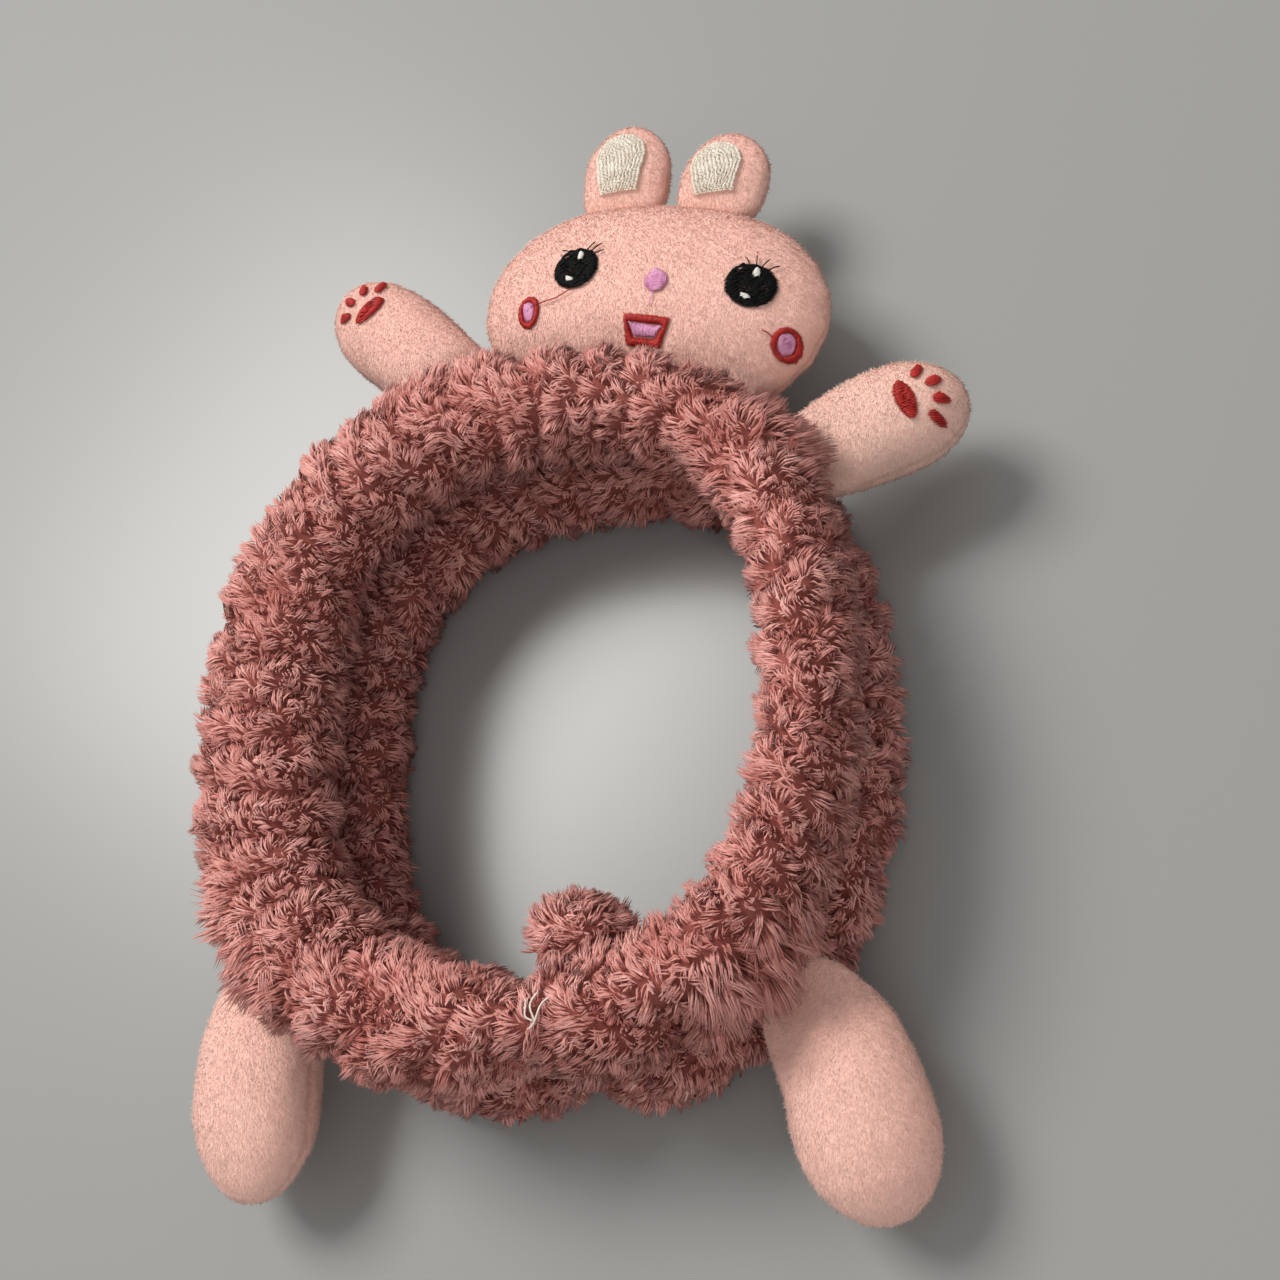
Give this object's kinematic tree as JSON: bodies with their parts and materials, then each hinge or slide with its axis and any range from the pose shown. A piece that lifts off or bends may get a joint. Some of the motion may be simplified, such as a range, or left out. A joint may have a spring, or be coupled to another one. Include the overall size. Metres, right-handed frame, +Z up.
{
  "type": "spa headband",
  "caption": "Gathered fleece headband on an elastic, shaped as a plush bunny with stuffed head, ears, arms and legs sewn round the loop and embroidered face and paws",
  "frame": {"origin": "middle of the underside of the whole piece's box, on the surface that the loop's lower roll lies on", "axes": "+Z is up, along the loop's own axis and out of the bunny's face. +Y points from the loop to the bunny's head. +X is to the right of someone who looks at the face."},
  "size_m": [0.2158, 0.3062, 0.0593],
  "materials": {
    "fleece": "long shaggy pile, dusty rose",
    "plush": "short velvety pile, pale pink",
    "wadding": "loose fibre",
    "elastic": "woven",
    "sewing_thread": "matte",
    "black_embroidery": "satin stitch",
    "white_embroidery": "satin stitch",
    "lilac_embroidery": "satin stitch",
    "red_embroidery": "satin stitch",
    "cream_embroidery": "satin stitch"
  },
  "bodies": {
    "band": {"band_cover": "fleece", "band_elastic": "elastic", "groove_stitching_outer": "sewing_thread", "groove_stitching_inner": "sewing_thread", "end_tuck": "fleece", "thread_tail": "sewing_thread"},
    "head": {"head_front_panel": "plush", "head_back_panel": "plush", "head_wadding": "wadding", "eye_left": "black_embroidery", "eye_left_highlight_upper": "white_embroidery", "eye_left_highlight_lower": "white_embroidery", "cheek_left_rim": "red_embroidery", "cheek_left_blush": "lilac_embroidery", "eye_right": "black_embroidery", "eye_right_highlight_upper": "white_embroidery", "eye_right_highlight_lower": "white_embroidery", "cheek_right_rim": "red_embroidery", "cheek_right_blush": "lilac_embroidery", "nose": "lilac_embroidery", "philtrum": "lilac_embroidery", "mouth_outline": "red_embroidery", "tongue": "lilac_embroidery"},
    "ear_left": {"ear_left_front_panel": "plush", "ear_left_back_panel": "plush", "ear_left_wadding": "wadding", "ear_left_patch": "cream_embroidery"},
    "ear_right": {"ear_right_front_panel": "plush", "ear_right_back_panel": "plush", "ear_right_wadding": "wadding", "ear_right_patch": "cream_embroidery"},
    "arm_left": {"arm_left_front_panel": "plush", "arm_left_back_panel": "plush", "arm_left_wadding": "wadding", "paw_left_pad": "red_embroidery", "paw_left_toe_1": "red_embroidery", "paw_left_toe_2": "red_embroidery", "paw_left_toe_3": "red_embroidery", "paw_left_toe_4": "red_embroidery"},
    "arm_right": {"arm_right_front_panel": "plush", "arm_right_back_panel": "plush", "arm_right_wadding": "wadding", "paw_right_pad": "red_embroidery", "paw_right_toe_1": "red_embroidery", "paw_right_toe_2": "red_embroidery", "paw_right_toe_3": "red_embroidery", "paw_right_toe_4": "red_embroidery"},
    "leg_left": {"leg_left_front_panel": "plush", "leg_left_back_panel": "plush", "leg_left_wadding": "wadding"},
    "leg_right": {"leg_right_front_panel": "plush", "leg_right_back_panel": "plush", "leg_right_wadding": "wadding"}
  },
  "joints": [
    {"name": "head_seam", "type": "hinge", "parent": "band", "child": "head", "pos_m": [-0.01222, 0.06146, 0.0283], "axis": [0.9998, -0.0174, 0], "range_deg": [-20, 20], "stiffness_Nm_per_rad": 0.3},
    {"name": "ear_left_seam", "type": "hinge", "parent": "head", "child": "ear_left", "pos_m": [-0.02909, 0.12647, 0.0283], "axis": [0.9837, 0.18, 0], "range_deg": [-30, 30], "stiffness_Nm_per_rad": 0.05},
    {"name": "ear_right_seam", "type": "hinge", "parent": "head", "child": "ear_right", "pos_m": [-0.00108, 0.12715, 0.0283], "axis": [0.9937, -0.112, 0], "range_deg": [-30, 30], "stiffness_Nm_per_rad": 0.05},
    {"name": "arm_left_seam", "type": "hinge", "parent": "band", "child": "arm_left", "pos_m": [-0.04986, 0.04892, 0.0283], "axis": [0.8737, 0.4864, 0], "range_deg": [-20, 20], "stiffness_Nm_per_rad": 0.15},
    {"name": "arm_right_seam", "type": "hinge", "parent": "band", "child": "arm_right", "pos_m": [0.03626, 0.04918, 0.0283], "axis": [0.7917, -0.6109, 0], "range_deg": [-20, 20], "stiffness_Nm_per_rad": 0.15},
    {"name": "leg_left_seam", "type": "hinge", "parent": "band", "child": "leg_left", "pos_m": [-0.05204, -0.08849, 0.0283], "axis": [-0.7251, 0.6886, 0], "range_deg": [-10, 20], "stiffness_Nm_per_rad": 0.2},
    {"name": "leg_right_seam", "type": "hinge", "parent": "band", "child": "leg_right", "pos_m": [0.0639, -0.06803, 0.0283], "axis": [-0.4786, -0.878, 0], "range_deg": [-10, 20], "stiffness_Nm_per_rad": 0.2}
  ]
}
